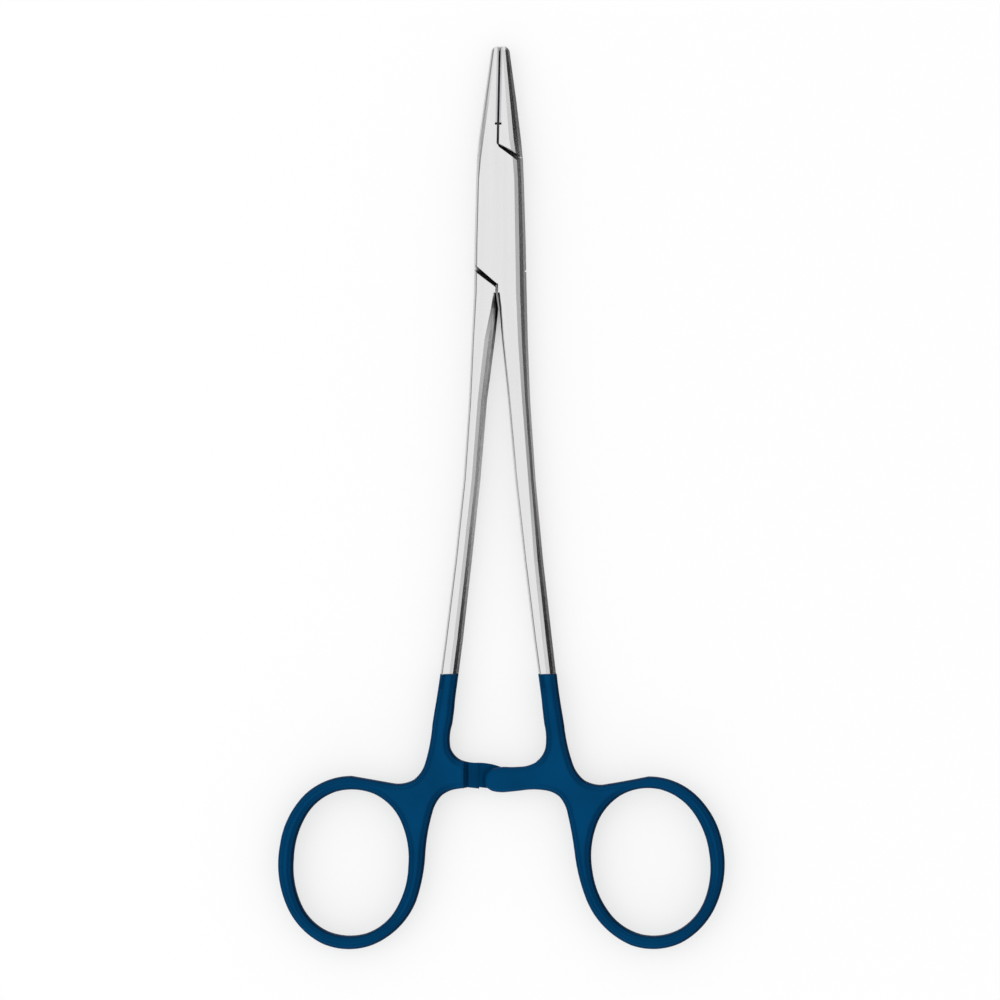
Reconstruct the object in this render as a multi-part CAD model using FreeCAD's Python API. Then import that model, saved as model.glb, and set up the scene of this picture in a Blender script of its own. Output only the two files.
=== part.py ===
import FreeCAD, Part
import math
import os

# A ring-handled surgical needle holder with a box lock, lying flat with its jaws closed.
# X points right, Y toward the jaw tips, Z up. The origin is on the pivot, on the box's back face.
# Two forgings cross in the box: box_half carries the left jaw and the right handle,
# tenon_half the right jaw and the left handle. All sizes are in mm.

# Driving sizes
LENGTH = 160.0            # jaw tips to ring ends, scales the whole plan
BOX_THICKNESS = 5.6
TIP_THICKNESS = 2.2
SHANK_THICKNESS = 3.5     # where the shanks enter the coat
HANDLE_THICKNESS = 3.6    # steel of ratchet arms and rings
TENON_THICKNESS = 2.5
SLOT_CLEARANCE = 0.05     # tenon to each plate
PIN_RADIUS = 1.5
PIN_CLEARANCE = 0.03
JAW_GAP = 0.06            # between the gripping faces, jaws closed
SEAM_WIDTH = 0.28         # groove along the closed jaws
SEAM_DEPTH = 0.5
NOSE_DROP = 0.45          # how far the faces fall at the jaw tips
INSERT_THICKNESS = 0.46
INSERT_LENGTH = 13.6
INSERT_RELIEF = 0.4       # notch at the foot of the inserts
SHOULDER_EDGE = 0.16      # chamfer of the box lock's two shoulders
COAT = 0.15               # thickness of the handle coat
EDGE_ROUND = 1.05         # rounding of the coated handles
CORE_CHAMFER = 0.62       # the forging's own edges under the coat
TOOTH_PITCH = 2.2
TOOTH_DEPTH = 0.5
TOOTH_RAMP = 0.45         # run of a tooth's steep side
LAP_RAMP = 0.7            # run of the step where an arm drops to half its thickness
RATCHET_GAP = 0.1         # between the two rows of teeth
NICK = 0.28               # what the teeth take off the arm's lower edge

# Sizes that follow from them
SCALE = LENGTH / 160.0
MID = BOX_THICKNESS / 2
TENON_LOW = MID - TENON_THICKNESS / 2
TENON_HIGH = MID + TENON_THICKNESS / 2
COATED_HALF = HANDLE_THICKNESS / 2 + COAT
TIP_Y = 29.7
NOSE_Y = 29.0             # the jaw tips begin to round off
SPLIT_Y = -14.0           # the box ends and the two shanks begin
COAT_Y = -81.5            # the coat's edge
BEVEL = ((1.0, 1.0), (0.62, 0.93), (0.27, 0.68), (0.0, 0.2))


def at(x, y, z=0.0):
    return FreeCAD.Vector(x * SCALE, y * SCALE, z)


def prism(points, low=-1.0, high=BOX_THICKNESS + 1.0):
    """A straight-sided plan outline raised from low to high."""
    corners = [at(x, y, low) for x, y in points]
    face = Part.Face(Part.makePolygon(corners + corners[:1]))
    return face.extrude(FreeCAD.Vector(0, 0, high - low))


def between(y, y0, v0, y1, v1):
    return v0 + (v1 - v0) * (y - y0) / (y1 - y0)


def half_thickness(y):
    """Half the thickness of jaws, box and shanks: flat at the box, thinner to both ends."""
    if y > 9.0:
        half = between(y, 9.0, BOX_THICKNESS / 2, TIP_Y, TIP_THICKNESS / 2)
        return half - between(max(y, NOSE_Y), NOSE_Y, 0.0, TIP_Y, NOSE_DROP)
    if y < SPLIT_Y:
        return between(y, SPLIT_Y, BOX_THICKNESS / 2, COAT_Y, SHANK_THICKNESS / 2)
    return BOX_THICKNESS / 2


def section(y, left, right, bevel_left, bevel_right):
    """A cross-section: flat front and back, three slopes down to each side."""
    half = half_thickness(y)
    rim = [(right - bevel_right * a, half * b) for a, b in BEVEL]
    rim += [(x, -z) for x, z in reversed(rim)]
    far = [(left + bevel_left * a, -half * b) for a, b in BEVEL]
    far += [(x, -z) for x, z in reversed(far)]
    corners = [at(x, y, MID + z) for x, z in rim + far]
    return Part.makePolygon(corners + corners[:1])


def loft(stations):
    return Part.makeLoft([section(*s) for s in stations], True, True)


# Plan of jaws and box: y, left edge, right edge, left bevel, right bevel
BODY = (
    (TIP_Y, -1.39, 1.57, 0.7, 1.1),
    (NOSE_Y, -1.49, 1.67, 0.72, 1.2),
    (20.2, -2.76, 2.87, 0.85, 1.8),
    (13.1, -3.76, 3.72, 0.85, 2.1),
    (9.6, -4.08, 4.06, 0.7, 1.8),
    (6.0, -4.21, 4.23, 0.5, 1.7),
    (-4.6, -4.48, 4.54, 0.5, 1.85),
    (SPLIT_Y, -4.62, 4.73, 0.5, 1.9),
)
LEFT_SHANK = (
    (SPLIT_Y, -4.62, -0.74, 0.5, 0.4),
    (-16.8, -4.73, -0.30, 0.45, 1.3),
    (-22.3, -5.00, -0.89, 0.4, 1.85),
    (-33.0, -5.49, -2.29, 0.4, 1.65),
    (-47.1, -6.47, -3.46, 0.4, 1.55),
    (-61.3, -7.99, -4.98, 0.4, 1.6),
    (-75.5, -9.76, -6.56, 0.4, 1.65),
    (-84.0, -10.88, -7.67, 0.4, 1.65),
)
RIGHT_SHANK = (
    (SPLIT_Y, -0.36, 4.73, 0.3, 1.9),
    (-16.8, -0.05, 4.80, 0.35, 1.85),
    (-22.3, 0.35, 4.93, 0.4, 1.75),
    (-33.0, 1.42, 5.34, 0.4, 1.45),
    (-47.1, 2.68, 6.30, 0.4, 1.3),
    (-61.3, 4.26, 7.63, 0.4, 1.6),
    (-75.5, 6.01, 9.24, 0.4, 1.75),
    (-84.0, 7.18, 10.22, 0.4, 1.75),
)


def seam(y):
    """The line between the closed jaws."""
    return between(y, 12.4, -0.40, TIP_Y, -0.04)


HALF_GAP = JAW_GAP / 2


def bar(y0, y1, half_width, depth, side):
    """A bar along the seam, sunk into the front (side 1) or back (side -1) face."""
    wires = []
    for y in (y0, y1):
        low = half_thickness(y) - depth
        ring = [(seam(y) + w, y, MID + side * z) for w, z in (
            (-half_width, low), (half_width, low), (half_width, low + 2), (-half_width, low + 2))]
        corners = [at(*p) for p in ring]
        wires.append(Part.makePolygon(corners + corners[:1]))
    return Part.makeLoft(wires, True, True)


def seam_cuts():
    """The groove along the closed jaws and the notch at the foot of their inserts."""
    foot = TIP_Y - INSERT_LENGTH
    cuts = []
    for side in (1, -1):
        cuts.append(bar(12.2, NOSE_Y, SEAM_WIDTH / 2, SEAM_DEPTH, side))
        cuts.append(bar(NOSE_Y - 0.01, TIP_Y + 0.1, SEAM_WIDTH / 2, SEAM_DEPTH, side))
        cuts.append(bar(foot - INSERT_RELIEF, foot, HALF_GAP + INSERT_THICKNESS + 0.1,
                        SEAM_DEPTH, side))
    return cuts


def shoulder_edge(a, b, inward):
    """What chamfers a shoulder from a to b on both faces. Inward is the way to the steel."""
    cuts = []
    for side in (1, -1):
        wires = []
        for x, y in (a, b):
            top = half_thickness(y)
            ring = [
                (x, y - inward * 0.1, MID + side * (top - SHOULDER_EDGE - 0.1)),
                (x, y + inward * (SHOULDER_EDGE + 0.1), MID + side * (top + 0.1)),
                (x, y - inward * 0.1, MID + side * (top + 0.1)),
            ]
            corners = [at(*p) for p in ring]
            wires.append(Part.makePolygon(corners + corners[:1]))
        cuts.append(Part.makeLoft(wires, True, True))
    return cuts


def tip_plan():
    """The plan with rounded jaw tips."""
    arc_left = Part.Arc(at(-1.61, 28.2), at(-1.34, 29.13), at(-0.75, 29.62)).toShape()
    arc_right = Part.Arc(at(0.95, 29.62), at(1.53, 29.13), at(1.78, 28.2)).toShape()
    edges = [arc_left, Part.makeLine(at(-0.75, 29.62), at(0.95, 29.62)), arc_right]
    outline = [(1.78, 28.2), (9, 10), (9, -20), (-9, -20), (-9, 10), (-1.61, 28.2)]
    for a, b in zip(outline, outline[1:]):
        edges.append(Part.makeLine(at(*a), at(*b)))
    return Part.Face(Part.Wire(edges)).extrude(FreeCAD.Vector(0, 0, BOX_THICKNESS))


# Plan outlines of the lock
def female_plan():
    """What belongs to the box half, seen from the front."""
    return prism([
        (-9, 32), (seam(32) - HALF_GAP, 32), (seam(12.3) - HALF_GAP, 12.3),
        (-0.22, 11.78), (2.96, 9.43), (3.5, 9.78), (9, 9.78),
        (9, -20), (0.2, -20), (-0.36, -14), (-0.53, -12.4), (-4.25, -9.21), (-9, -5.15),
    ])


RIGHT_SHOULDER = ((seam(12.3) + HALF_GAP, 12.3), (9, 7.32))
LEFT_SHOULDER = ((-9, -6.69), (-0.83, -12.88))


def right_jaw_plan():
    return prism([(seam(32) + HALF_GAP, 32), (9, 32), RIGHT_SHOULDER[1], RIGHT_SHOULDER[0]])


def left_root_plan():
    """The full-thickness start of the left shank, below its shoulder."""
    return prism([LEFT_SHOULDER[0], LEFT_SHOULDER[1], (-0.74, -20), (-9, -20)])


def tenon_plan():
    return prism([
        (-9, 8.01), (-0.40, 12.15), (seam(14) + HALF_GAP, 14), (9, 9.0),
        (9, -7.85), (-0.78, -12.55), (-0.8, -14), (-9, -14),
    ], TENON_LOW, TENON_HIGH)


def slot_plan():
    """The slot through the box, open at both sides."""
    low = TENON_LOW - SLOT_CLEARANCE
    high = TENON_HIGH + SLOT_CLEARANCE
    return prism([
        (-9, 8.13), (-0.55, 12.2), (0.5, 14), (9, 14),
        (9, -8.13), (-0.6, -12.75), (-1.2, -16), (-9, -16),
    ], low, high)


def insert_plan(side):
    inner = side * HALF_GAP
    outer = side * (HALF_GAP + INSERT_THICKNESS)
    start = TIP_Y - INSERT_LENGTH
    return prism([
        (seam(start) + inner, start), (seam(32) + inner, 32),
        (seam(32) + outer, 32), (seam(start) + outer, start),
    ])


# Handles. Each plan outline is one spline: down the outside of the neck, round the ring,
# up its flank, along the ratchet arm and round its end, then up the inside of the neck.
class Side:
    """The plan of one handle and the way its ratchet arm points."""

    def __init__(self, neck, rim, opening, span, back, step, along):
        self.neck = neck        # outside of the neck, from the coat's edge to the ring
        self.rim = rim          # ring outside: centre, half width, half length, fullness, tilt
        self.opening = opening  # ring inside, the same values
        self.span = span        # angles between which the outline follows the ring
        self.back = back        # flank, ratchet arm and inside of the neck
        self.step = step        # where the arm drops to half its thickness
        self.along = along      # 1: the arm points to +X and its teeth face +Z


LEFT = Side(
    [(-10.58, -81.5), (-11.27, -86.1), (-11.98, -90.4), (-13.3, -97.4), (-15.2, -100.2),
     (-18.6, -100.93)],
    (-26.65, -114.91, 12.58, 15.33, 2.08, -1.4),
    (-26.39, -114.92, 10.16, 12.98, 2.16, -3.4),
    (90, 290),
    [(-14.80, -121.62), (-13.2, -113.0), (-11.95, -106.0), (-10.3, -103.0), (-8.0, -101.92),
     (-4.0, -101.85), (-0.4, -102.0), (1.4, -100.8), (1.4, -99.2), (-0.4, -97.8),
     (-4.0, -97.25), (-6.9, -96.75), (-8.77, -94.6), (-8.45, -90.4), (-7.95, -86.1),
     (-7.33, -81.5)],
    -6.29,
    1,
)
RIGHT = Side(
    [(10.06, -81.5), (10.65, -86.1), (11.36, -90.4), (12.9, -97.4), (14.9, -100.3),
     (18.2, -101.15)],
    (26.98, -114.97, 12.81, 15.31, 2.0, 2.5),
    (26.73, -114.80, 10.46, 13.14, 2.09, 8.6),
    (90, -110),
    [(15.27, -121.42), (13.2, -113.0), (11.98, -106.28), (10.5, -103.2), (8.3, -102.15),
     (4.0, -102.1), (1.2, -102.4), (-1.0, -102.3), (-2.3, -101.6), (-2.75, -100.3),
     (-2.35, -99.0), (-1.0, -98.15), (1.2, -97.95), (4.0, -97.88), (6.5, -97.0), (8.05, -94.6), (7.85, -90.4), (7.37, -86.1),
     (6.76, -81.5)],
    6.4,
    -1,
)


def oval(ring, grow, angle):
    """A point of a full, tilted oval at an angle counted from its own long side."""
    x, y, width, length, fullness, tilt = ring
    c = math.cos(math.radians(angle))
    s = math.sin(math.radians(angle))
    u = math.copysign(abs(c) ** (2 / fullness), c) * (width + grow)
    v = math.copysign(abs(s) ** (2 / fullness), s) * (length + grow)
    t = math.radians(tilt)
    return (x + u * math.cos(t) - v * math.sin(t), y + u * math.sin(t) + v * math.cos(t))


def arc(a, b, c):
    """An arc from a through b to c, or a line where b hardly leaves it."""
    if b.distanceToLine(a, c - a) < 1e-4:
        return Part.makeLine(a, c)
    return Part.Arc(a, b, c).toShape()


def moved_in(points, inset):
    """The points of an open outline, each moved square to its neighbours' chord."""
    moved = []
    last = len(points) - 1
    for i, (x, y) in enumerate(points):
        x0, y0 = points[max(i - 1, 0)]
        x1, y1 = points[min(i + 1, last)]
        chord = math.hypot(x1 - x0, y1 - y0)
        rise = 0 if i in (0, last) else inset * (x1 - x0) / chord
        moved.append((x - inset * (y1 - y0) / chord, y + rise))
    return moved


def hole_wire(side, inset, z):
    """The ring's opening as ten arcs."""
    points = [at(*oval(side.opening, inset, a), z) for a in range(0, 361, 18)]
    points[-1] = points[0]
    return Part.Wire([arc(*points[i:i + 3]) for i in range(0, 20, 2)])


def handle_wire(side, inset, z):
    """The outline as one arc from each of its points to the next."""
    first, last = side.span
    turn = 1 if last > first else -1
    around = [oval(side.rim, 0, a) for a in range(first, last + turn, 40 * turn)]
    points = moved_in(side.neck + around + side.back, turn * inset)
    curve = Part.BSplineCurve()
    curve.interpolate(Points=[at(x, y, z) for x, y in points])
    knots = curve.getKnots()
    edges = []
    for a, b in zip(knots, knots[1:]):
        edges.append(arc(curve.value(a), curve.value((a + b) / 2), curve.value(b)))
    edges.append(Part.makeLine(curve.value(knots[-1]), curve.value(knots[0])))
    return Part.Wire(edges)


def rounded(wire, side, inset, half, radius, steps):
    """A plan outline raised to 2 * half, its edges rounded off in a few steps."""
    levels = []
    for k in range(steps + 1):
        turn = math.pi / 2 * k / steps
        levels.append((half - radius + radius * math.sin(turn), radius * (1 - math.cos(turn))))
    levels = [(-z, extra) for z, extra in reversed(levels)] + levels
    return Part.makeLoft([wire(side, inset + extra, MID + z) for z, extra in levels], True, True)


def teeth_cut(side, inset):
    """What is cut off the ratchet arm: half its thickness, and the gaps of its teeth."""
    along = side.along
    crest = MID - along * (RATCHET_GAP / 2 + inset)
    root = crest - along * TOOTH_DEPTH
    far = MID + along * 9
    start = side.step - along * inset
    profile = [(start - along * LAP_RAMP, far), (start, root)]
    x = side.step + along * (0.3 + inset)
    for tooth in range(4):
        profile += [(x, root), (x + along * TOOTH_RAMP, crest)]
        x += along * TOOTH_PITCH
    profile += [(x + along * 9, crest), (x + along * 9, far)]
    corners = [at(x, -94.5, z) for x, z in profile]
    face = Part.Face(Part.makePolygon(corners + corners[:1]))
    return face.extrude(FreeCAD.Vector(0, -10.5 * SCALE, 0))


def nicks(side, inset):
    """The small steps that the visible teeth leave in the arm's lower edge."""
    cuts = []
    for tooth in range(2):
        x = side.step + 0.4 + tooth * TOOTH_PITCH - inset
        edge = -101.85 + inset
        cuts.append(prism([(x, edge + NICK), (x + TOOTH_PITCH, edge), (x + TOOTH_PITCH, edge - 2),
                           (x, edge - 2)]))
    return cuts


def handle(side, inset):
    """The coated handle, or its steel when inset by the coat."""
    half = COATED_HALF - inset
    radius = CORE_CHAMFER if inset else EDGE_ROUND
    steps = 1 if inset else 3
    form = rounded(handle_wire, side, inset, half, radius, steps)
    opening = rounded(hole_wire, side, inset, half, radius, steps)
    form = form.cut(opening).cut(teeth_cut(side, inset))
    return form.cut(nicks(side, inset)) if side is LEFT else form


def pin_hole(radius):
    return Part.makeCylinder(radius, BOX_THICKNESS + 2, FreeCAD.Vector(0, 0, -1))


body = loft(BODY).common(tip_plan()).cut(seam_cuts())
pin = Part.makeCylinder(PIN_RADIUS, BOX_THICKNESS)

insert_left = body.common(insert_plan(-1))
insert_right = body.common(insert_plan(1))

steel_right = handle(RIGHT, COAT)
steel_left = handle(LEFT, COAT)

box_half = body.common(female_plan()).cut(slot_plan())
box_half = box_half.cut(insert_left).cut(pin)
box_half = box_half.fuse([loft(RIGHT_SHANK), steel_right]).removeSplitter()

tenon = body.common(tenon_plan())
right_jaw = body.common(right_jaw_plan()).cut(shoulder_edge(*RIGHT_SHOULDER, 1))
left_root = body.common(left_root_plan()).cut(shoulder_edge(*LEFT_SHOULDER, -1))
tenon_half = tenon.fuse([right_jaw, left_root])
tenon_half = tenon_half.cut(insert_right).cut(pin_hole(PIN_RADIUS + PIN_CLEARANCE))
tenon_half = tenon_half.fuse([loft(LEFT_SHANK), steel_left]).removeSplitter()

coating_right = handle(RIGHT, 0.0).cut(box_half)
coating_left = handle(LEFT, 0.0).cut(tenon_half)

os.makedirs("parts", exist_ok=True)
PARTS = {
    "box_half": box_half,
    "tenon_half": tenon_half,
    "joint_pin": pin,
    "jaw_insert_left": insert_left,
    "jaw_insert_right": insert_right,
    "coating_right": coating_right,
    "coating_left": coating_left,
}
for name, shape in PARTS.items():
    shape.exportStep("parts/" + name + ".step")
    print(name, len(shape.Solids), round(shape.Volume, 2), shape.isValid())
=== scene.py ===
import bmesh
import bpy
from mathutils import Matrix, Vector


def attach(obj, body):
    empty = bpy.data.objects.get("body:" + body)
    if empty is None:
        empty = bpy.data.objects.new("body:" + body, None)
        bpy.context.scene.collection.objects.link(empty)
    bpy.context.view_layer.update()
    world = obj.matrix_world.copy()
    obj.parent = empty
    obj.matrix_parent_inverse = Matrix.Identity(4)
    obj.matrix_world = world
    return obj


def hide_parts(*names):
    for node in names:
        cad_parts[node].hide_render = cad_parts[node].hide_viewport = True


# A needle holder seen from straight above on a pale floor. The CAD pieces keep their shape,
# apart from the jaw inserts, which get gripping faces. Lengths are in metres, or in mm where
# a comment says so.
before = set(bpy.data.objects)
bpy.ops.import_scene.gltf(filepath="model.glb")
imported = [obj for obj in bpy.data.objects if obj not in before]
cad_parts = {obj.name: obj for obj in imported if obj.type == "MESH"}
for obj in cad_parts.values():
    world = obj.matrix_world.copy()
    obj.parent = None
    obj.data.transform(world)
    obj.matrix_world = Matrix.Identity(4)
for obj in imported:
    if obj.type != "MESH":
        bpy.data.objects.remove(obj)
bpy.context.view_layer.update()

PICTURE = 0.17719        # what the photograph's frame spans at the object
AIM = (0.0, -0.05068)    # the middle of the photograph
MID = 0.0028             # half the box's thickness
COAT_EDGE = -0.0816      # where the coat ends on the shanks
LEAN_FROM = -0.014       # below here the shanks lean away from the middle
LEAN = 0.09              # by this much per length
CAMERA_DISTANCE = 1.2
SKY = 0.9

# Places on the jaws in mm, as the CAD has them
MM = 0.001
SHOULDER_Y = 12.4        # lower end of the jaw seam
FOOT_Y = 16.1            # lower end of the inserts
NOSE_Y = 29.0            # where the tips start to round off
NOSE_MID_Y = 29.35
END_Y = 29.62            # flat end of the tips
TIP_Y = 29.7             # where the outlines would meet
SEAM_X = -0.40           # the seam at the shoulder, and how far it comes over up to the tip
SEAM_RUN = 0.36
CROTCH_X = -0.56         # the short seam between the shanks, below the box
CROTCH_Y = (-14.2, -12.4)

# Measured from the photograph, as linear colours
STEEL = (0.88, 0.88, 0.885)
HARD_METAL = (0.62, 0.62, 0.64)
# black for the shade painted into the steel's gaps, corners and seams
PAINTED_SHADE_BLACK = (0.012, 0.012, 0.013)
COAT_BLUE = (0.0002, 0.051, 0.142)
# the deeper blue of the shade painted on the coat's slopes
COAT_SHADE = (0.0002, 0.013, 0.043)

COAT_ROUND = 0.0008      # how far in from the coat's edges its painted shade reaches, through rounded-off normals
LAP_X = (0.006, 0.008)   # nearer the middle than this lie the ratchet arms, where the coat's painted shade is weaker


def seam(y):
    """The jaw seam's place across the part, in mm, at a place along it."""
    return SEAM_X + SEAM_RUN * (y - SHOULDER_Y) / (TIP_Y - SHOULDER_Y)


# Materials
class Nodes:
    """A material's node tree, built line by line."""

    def __init__(self, name):
        self.material = bpy.data.materials.new(name)
        self.material.use_nodes = True
        self.tree = self.material.node_tree
        self.tree.nodes.clear()
        self.output = self.add("ShaderNodeOutputMaterial")

    def add(self, kind, **values):
        node = self.tree.nodes.new(kind)
        for key, value in values.items():
            setattr(node, key, value)
        return node

    def link(self, source, target):
        self.tree.links.new(source, target)

    def math(self, operation, a, b=0.0):
        node = self.add("ShaderNodeMath", operation=operation)
        for socket, value in zip(node.inputs, (a, b)):
            if isinstance(value, (int, float)):
                socket.default_value = value
            else:
                self.link(value, socket)
        return node.outputs[0]

    def noise(self, vector, scale, detail=3.0, roughness=0.5):
        node = self.add("ShaderNodeTexNoise")
        node.inputs["Scale"].default_value = scale
        node.inputs["Detail"].default_value = detail
        node.inputs["Roughness"].default_value = roughness
        self.link(vector, node.inputs["Vector"])
        return node.outputs["Fac"]

    def ramp(self, value, low, high, to_low, to_high):
        node = self.add("ShaderNodeMapRange")
        self.link(value, node.inputs["Value"])
        for key, number in (("From Min", low), ("From Max", high),
                            ("To Min", to_low), ("To Max", to_high)):
            node.inputs[key].default_value = number
        return node.outputs["Result"]

    def mix(self, factor, a, b):
        node = self.add("ShaderNodeMix", data_type="RGBA")
        self.link(factor, node.inputs["Factor"])
        for socket, value in ((node.inputs[6], a), (node.inputs[7], b)):
            if isinstance(value, tuple):
                socket.default_value = (*value, 1.0)
            else:
                self.link(value, socket)
        return node.outputs[2]

    def crevice(self, reach, low, high):
        """How occluded a point is, by ambient occlusion, for painting shade: 1 deep in a gap or
        corner, 0 on an open surface.
        """
        node = self.add("ShaderNodeAmbientOcclusion", samples=12)
        node.inputs["Distance"].default_value = reach
        return self.ramp(node.outputs["AO"], low, high, 1.0, 0.0)

    def bump(self, height, strength, distance):
        node = self.add("ShaderNodeBump")
        node.inputs["Strength"].default_value = strength
        node.inputs["Distance"].default_value = distance
        self.link(height, node.inputs["Height"])
        return node.outputs["Normal"]


def add_coat(n, where):
    """Thin blue dip coat: satin, very slightly uneven, with shade painted in deeper blue where it
    slopes away and most of all on slopes facing right, as light from the left falls."""
    shader = n.add("ShaderNodeBsdfPrincipled")
    pool = n.noise(where, 140.0, 3.0)
    grain = n.noise(where, 2600.0, 2.0)
    deep = tuple(c * 0.9 for c in COAT_BLUE)
    pale = tuple(c * 1.1 for c in COAT_BLUE)
    even = n.mix(n.ramp(pool, 0.3, 0.7, 0.0, 1.0), deep, pale)
    # Painted shade: the coat darkens where its rounded-off normal tilts from upright, and most
    # where it faces +X, away from the light
    facing = n.add("ShaderNodeSeparateXYZ")
    rounded = n.add("ShaderNodeBevel", samples=6)
    rounded.inputs["Radius"].default_value = COAT_ROUND
    n.link(rounded.outputs["Normal"], facing.inputs[0])
    upright = n.math("ABSOLUTE", facing.outputs["Z"])
    steep = n.ramp(upright, 0.35, 0.85, 0.9, 0.0)
    shaded = n.ramp(facing.outputs["X"], 0.0, 0.5, 0.0, 0.95)
    place = n.add("ShaderNodeSeparateXYZ")
    n.link(where, place.inputs[0])
    on_lap = n.ramp(n.math("ABSOLUTE", place.outputs["X"]), *LAP_X, 0.3, 1.0)
    painted_shade_share = n.math("MULTIPLY", n.math("MAXIMUM", steep, shaded), on_lap)
    n.link(n.mix(painted_shade_share, even, COAT_SHADE), shader.inputs["Base Color"])
    n.link(n.ramp(pool, 0.3, 0.7, 0.3, 0.4), shader.inputs["Roughness"])
    shader.inputs["Specular IOR Level"].default_value = 0.015
    height = n.math("ADD", n.math("MULTIPLY", pool, 0.8), n.math("MULTIPLY", grain, 0.2))
    n.link(n.bump(height, 0.25, 0.00003), shader.inputs["Normal"])
    return shader.outputs[0]


def coated():
    n = Nodes("coat_blue")
    where = n.add("ShaderNodeTexCoord").outputs["Object"]
    n.link(add_coat(n, where), n.output.inputs["Surface"])
    return n.material


def seam_shade(n, parts, start, slope, y_from, y_to):
    """1 beside a seam, where black shade is painted along its edges, from y_from to y_to, on the
    line that has x = start at y = 0. In mm.
    """
    line = n.math("ADD", n.math("MULTIPLY", parts.outputs["Y"], slope), start * MM)
    beside = n.math("ABSOLUTE", n.math("SUBTRACT", parts.outputs["X"], line))
    dark = n.ramp(beside, 0.16 * MM, 0.26 * MM, 1.0, 0.0)
    above = n.math("GREATER_THAN", parts.outputs["Y"], y_from * MM)
    under = n.math("LESS_THAN", parts.outputs["Y"], y_to * MM)
    return n.math("MULTIPLY", dark, n.math("MULTIPLY", above, under))


def brushed(name, tint, lean, rough, dipped=False):
    """Satin steel, brushed along the arms, with black shade painted into its gaps and corners
    and along the seams. A dipped half is blue below the coat's edge, where its steel comes
    level with the coat."""
    n = Nodes(name)
    shader = n.add("ShaderNodeBsdfPrincipled")
    where = n.add("ShaderNodeTexCoord").outputs["Object"]
    parts = n.add("ShaderNodeSeparateXYZ")
    n.link(where, parts.inputs[0])
    below = n.math("MINIMUM", n.math("SUBTRACT", parts.outputs["Y"], LEAN_FROM), 0.0)
    across = n.math("ADD", parts.outputs["X"], n.math("MULTIPLY", below, lean))
    along = n.add("ShaderNodeCombineXYZ")
    for axis, place, stretch in (("X", across, 6.0), ("Y", parts.outputs["Y"], 0.16),
                                 ("Z", parts.outputs["Z"], 6.0)):
        n.link(n.math("MULTIPLY", place, stretch), along.inputs[axis])
    streaks = n.noise(along.outputs[0], 900.0, 4.0, 0.6)
    bands = n.noise(along.outputs[0], 130.0, 2.0)
    clouds = n.noise(where, 160.0, 2.0)
    shade = n.math("ADD", n.ramp(streaks, 0.3, 0.7, -0.06, 0.05),
                   n.ramp(bands, 0.3, 0.7, -0.07, 0.07))
    dark = tuple(c * 0.84 for c in tint)
    light = tuple(min(c * 1.06, 0.95) for c in tint)
    colour = n.mix(n.math("ADD", shade, 0.62), dark, light)
    # Painted shade: the steel turns black where ambient occlusion finds a gap or corner, and
    # along the seams
    painted_shade = n.crevice(0.0014, 0.42, 0.68)
    # Painted shade: black lines beside the jaw seam and the short seam between the shanks, wider
    # than the groove's own shade
    jaw = seam_shade(n, parts, seam(0.0), seam(1.0) - seam(0.0), SHOULDER_Y, FOOT_Y)
    crotch = seam_shade(n, parts, CROTCH_X, 0.0, *CROTCH_Y)
    painted_shade = n.math("MAXIMUM", painted_shade, n.math("MAXIMUM", jaw, crotch))
    n.link(n.mix(painted_shade, colour, PAINTED_SHADE_BLACK), shader.inputs["Base Color"])
    shader.inputs["Metallic"].default_value = 1.0
    rough_map = n.math("ADD", n.ramp(streaks, 0.3, 0.7, -0.05, 0.05),
                       n.ramp(clouds, 0.3, 0.7, rough - 0.03, rough + 0.03))
    rough_map = n.math("ADD", rough_map, n.math("MULTIPLY", painted_shade, 0.3))
    n.link(rough_map, shader.inputs["Roughness"])
    n.link(n.bump(streaks, 0.35, 0.00001), shader.inputs["Normal"])
    surface = shader.outputs[0]
    if dipped:
        both = n.add("ShaderNodeMixShader")
        n.link(n.math("LESS_THAN", parts.outputs["Y"], COAT_EDGE), both.inputs["Fac"])
        n.link(surface, both.inputs[1])
        n.link(add_coat(n, where), both.inputs[2])
        surface = both.outputs[0]
    n.link(surface, n.output.inputs["Surface"])
    return n.material


OWN_WHITE = 0.62         # how much of the floor the camera sees as its own white
MIRRORED = 0.95          # how much of it reflections see as satin


def floor_material():
    """A pale matt floor with the part's soft shadow on it. The camera also sees its own white,
    which an occlusion mask fades out near the part and through a gap, as painted shade over
    the real shadow there. Reflections see the studio mirrored in it."""
    n = Nodes("floor")
    matt = n.add("ShaderNodeBsdfDiffuse")
    matt.inputs["Color"].default_value = (1.0, 1.0, 1.0, 1.0)
    satin = n.add("ShaderNodeBsdfGlossy")
    satin.inputs["Color"].default_value = (0.8, 0.8, 0.8, 1.0)
    satin.inputs["Roughness"].default_value = 0.25
    white = n.add("ShaderNodeEmission")
    white.inputs["Color"].default_value = (1.0, 1.0, 1.0, 1.0)
    ray = n.add("ShaderNodeLightPath")
    surface = matt.outputs[0]
    # Painted shade: the camera's own white fades where ambient occlusion finds the floor near the
    # part or under a gap
    open_floor = n.math("SUBTRACT", 1.0, n.crevice(0.003, 0.05, 0.16))
    own = n.math("MULTIPLY", open_floor, OWN_WHITE)
    for share, seen, shader in ((own, "Is Camera Ray", white),
                                (MIRRORED, "Is Glossy Ray", satin)):
        both = n.add("ShaderNodeMixShader")
        n.link(n.math("MULTIPLY", ray.outputs[seen], share), both.inputs["Fac"])
        n.link(surface, both.inputs[1])
        n.link(shader.outputs[0], both.inputs[2])
        surface = both.outputs[0]
    n.link(surface, n.output.inputs["Surface"])
    return n.material


def give(node, material):
    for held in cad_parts[node].material_slots:
        held.material = material


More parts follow.
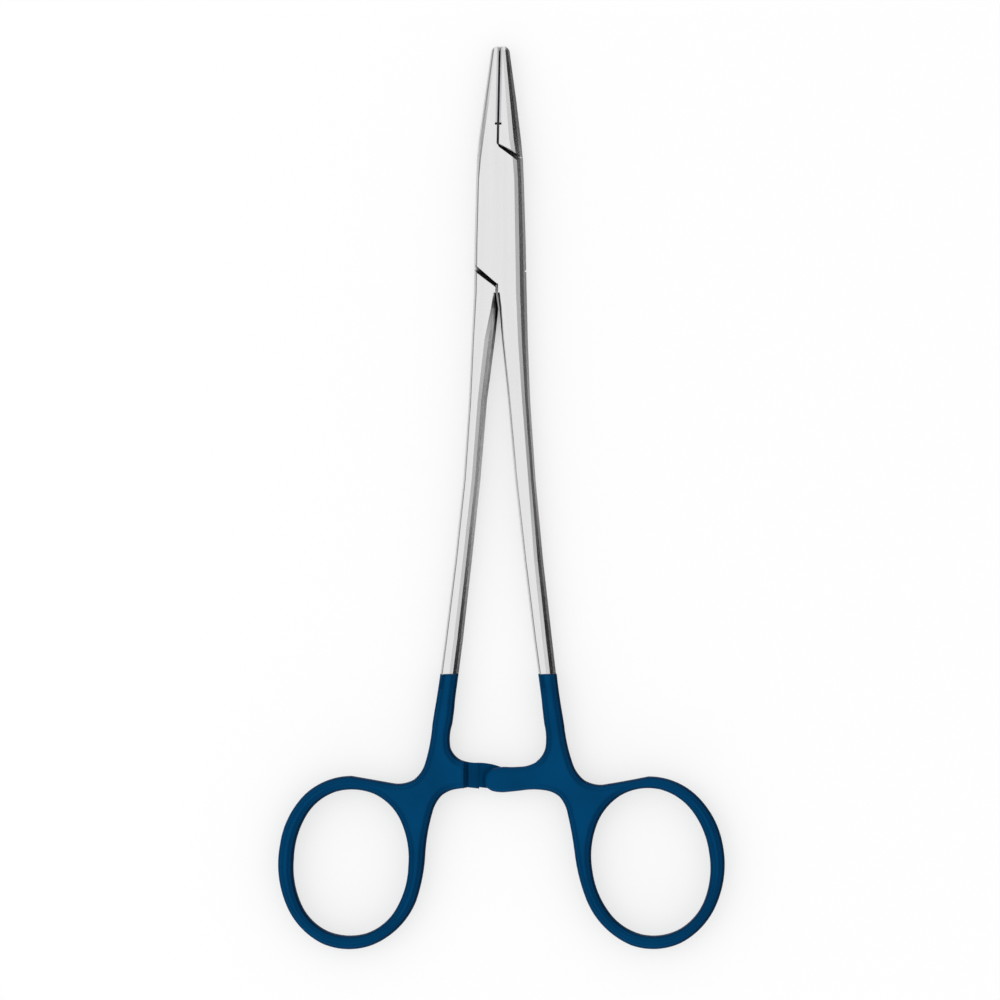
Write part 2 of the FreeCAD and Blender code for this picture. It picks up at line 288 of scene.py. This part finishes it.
steel_right = brushed("steel_right", STEEL, LEAN, 0.24, dipped=True)
steel_left = brushed("steel_left", STEEL, -LEAN, 0.26, dipped=True)
steel_pin = brushed("steel_pin", STEEL, 0.0, 0.24)
hard_metal = brushed("hard_metal", HARD_METAL, 0.0, 0.3)
coat = coated()
give("box_half", steel_right)
give("tenon_half", steel_left)
give("joint_pin", steel_pin)
give("jaw_insert_left", hard_metal)
give("jaw_insert_right", hard_metal)
give("coating_right", coat)
give("coating_left", coat)


# Gripping faces: the CAD inserts, with the flat faces along the seam cut into small pyramids.
# Both follow one wavy surface a hair apart, so the closed jaws mesh and let no light through.
# All values are in mm.
COLUMNS = 56             # pyramids and hollows along the face
ROWS = 9                 # and to each side of its middle
CELL = (NOSE_Y - FOOT_Y) / COLUMNS
PYRAMID = 0.1            # height of a pyramid above the middle of the surface
MESH_GAP = 0.02          # from the middle of the seam to each surface
CAD_GAP = 0.03           # from there to the CAD inserts' flat faces
FLAT = 0.01              # how near to that face its corners lie
GROOVE = (0.1, 0.2)      # the groove's wall in the CAD lies between these, from there
GROOVE_MORE = 0.05       # the groove over the inserts is a little wider than over the steel
BOX_HALF = 2.8           # half thickness of the jaws at TAPER_Y
TAPER_Y = 9.0
TIP_HALF = 1.1           # and at TIP_Y, less NOSE_DROP for the rounding from NOSE_Y on
NOSE_DROP = 0.45
FACE_INSET = 0.5         # from the jaws' faces to the gripping face
NO_AREA = 1e-13          # in square metres


def reach(y):
    """Half the height of the gripping face: thinner to the tip, rounding off at the nose."""
    half = BOX_HALF - (BOX_HALF - TIP_HALF) * (y - TAPER_Y) / (TIP_Y - TAPER_Y)
    if y > NOSE_Y:
        half -= NOSE_DROP * (y - NOSE_Y) / (TIP_Y - NOSE_Y)
    return half - FACE_INSET


def from_seam(v, side):
    """How far a corner lies from the middle of the seam, on a jaw's own side."""
    return side * (v.co.x / MM - seam(v.co.y / MM))


def gripping_face(mesh, side):
    """Adds the corners and triangles of one gripping face."""
    columns = [FOOT_Y + CELL * i for i in range(COLUMNS + 1)] + [NOSE_MID_Y, END_Y]
    grid = []
    for i, y in enumerate(columns):
        limit = reach(y)
        line = []
        for j in range(-ROWS, ROWS + 1):
            z = max(-limit, min(limit, j * CELL))
            x = seam(y) + side * CAD_GAP
            if abs(j * CELL) < limit and 0 < i < COLUMNS:
                x = seam(y) + side * MESH_GAP
                if i % 2 == j % 2:
                    x += PYRAMID if i % 2 == 0 else -PYRAMID
            line.append(mesh.verts.new((x * MM, y * MM, MID + z * MM)))
        grid.append(line)
    for i in range(len(columns) - 1):
        for j in range(2 * ROWS):
            a, b = grid[i][j], grid[i + 1][j]
            c, d = grid[i + 1][j + 1], grid[i][j + 1]
            halves = ((a, b, d), (b, c, d)) if (i + j - ROWS) % 2 == 0 else ((a, b, c), (a, c, d))
            for p, q, r in halves:
                if (q.co - p.co).cross(r.co - p.co).length > NO_AREA:
                    mesh.faces.new((p, q, r) if side < 0 else (r, q, p))


def grip(node, side, body):
    mesh = bmesh.new()
    mesh.from_mesh(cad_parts[node].data)
    flat = [face for face in mesh.faces
            if all(abs(from_seam(v, side) - CAD_GAP) < FLAT for v in face.verts)]
    bmesh.ops.delete(mesh, geom=flat, context="FACES")
    for v in mesh.verts:
        if GROOVE[0] < from_seam(v, side) < GROOVE[1]:
            v.co.x += side * GROOVE_MORE * MM
    gripping_face(mesh, side)
    loose = [v for v in mesh.verts if not v.link_faces]
    bmesh.ops.delete(mesh, geom=loose, context="VERTS")
    data = bpy.data.meshes.new("grip_" + node)
    mesh.to_mesh(data)
    mesh.free()
    data.materials.clear()
    data.materials.append(hard_metal)
    piece = bpy.data.objects.new("grip_" + node, data)
    bpy.context.collection.objects.link(piece)
    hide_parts(node)
    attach(piece, body)


grip("jaw_insert_left", -1, "box_arm")
grip("jaw_insert_right", 1, "tenon_arm")


# Floor, light and camera
bpy.ops.mesh.primitive_plane_add(size=6.0, location=(0, 0, 0))
floor = bpy.context.object
floor.name = "floor"
floor.data.materials.append(floor_material())


def soft_box(name, place, size, power, mirrored):
    lamp = bpy.data.lights.new(name, "AREA")
    lamp.shape = "RECTANGLE"
    lamp.size, lamp.size_y = size
    lamp.energy = power
    holder = bpy.data.objects.new(name, lamp)
    bpy.context.collection.objects.link(holder)
    holder.location = place
    aim = Vector((AIM[0], AIM[1], 0)) - Vector(place)
    holder.rotation_mode = "QUATERNION"
    holder.rotation_quaternion = aim.to_track_quat("-Z", "Y")
    holder.visible_glossy = mirrored


soft_box("key", (-0.55, 0.1, 0.75), (0.6, 0.9), 1.0, False)
soft_box("foot", (-0.1, -1.0, 0.22), (0.9, 0.35), 1.0, True)

# The sky is even, but reflections see a dark card on its right and a grey one low on its left
SKY_STOPS = ((-1.0, 0.25), (-0.85, 0.34), (-0.55, 1.0),
             (0.2, 1.0), (0.56, 0.52), (0.7, 0.05), (1.0, 0.01))
world = bpy.data.worlds.new("studio")
bpy.context.scene.world = world
world.use_nodes = True
tree = world.node_tree
tree.nodes.clear()
output = tree.nodes.new("ShaderNodeOutputWorld")
background = tree.nodes.new("ShaderNodeBackground")
background.inputs["Strength"].default_value = SKY
tree.links.new(background.outputs[0], output.inputs["Surface"])
direction = tree.nodes.new("ShaderNodeTexCoord")
split = tree.nodes.new("ShaderNodeSeparateXYZ")
tree.links.new(direction.outputs["Generated"], split.inputs[0])
across = tree.nodes.new("ShaderNodeMapRange")
across.inputs["From Min"].default_value = -1.0
tree.links.new(split.outputs["X"], across.inputs["Value"])
cards = tree.nodes.new("ShaderNodeValToRGB")
cards.color_ramp.interpolation = "EASE"
while len(cards.color_ramp.elements) < len(SKY_STOPS):
    cards.color_ramp.elements.new(0.5)
for stop, (x, shade) in zip(cards.color_ramp.elements, SKY_STOPS):
    stop.position = (x + 1) / 2
    stop.color = (shade, shade, shade, 1.0)
tree.links.new(across.outputs["Result"], cards.inputs["Fac"])
path = tree.nodes.new("ShaderNodeLightPath")
level = tree.nodes.new("ShaderNodeMix")
level.data_type = "RGBA"
level.inputs[6].default_value = (1.0, 1.0, 1.0, 1.0)
tree.links.new(path.outputs["Is Glossy Ray"], level.inputs[0])
tree.links.new(cards.outputs["Color"], level.inputs[7])
tree.links.new(level.outputs[2], background.inputs["Color"])

camera_data = bpy.data.cameras.new("camera")
camera_data.sensor_width = 36.0
camera_data.lens = 36.0 * CAMERA_DISTANCE / PICTURE
camera = bpy.data.objects.new("camera", camera_data)
bpy.context.collection.objects.link(camera)
camera.location = (AIM[0], AIM[1], MID + CAMERA_DISTANCE)
bpy.context.scene.camera = camera
bpy.context.scene.view_settings.view_transform = "Standard"
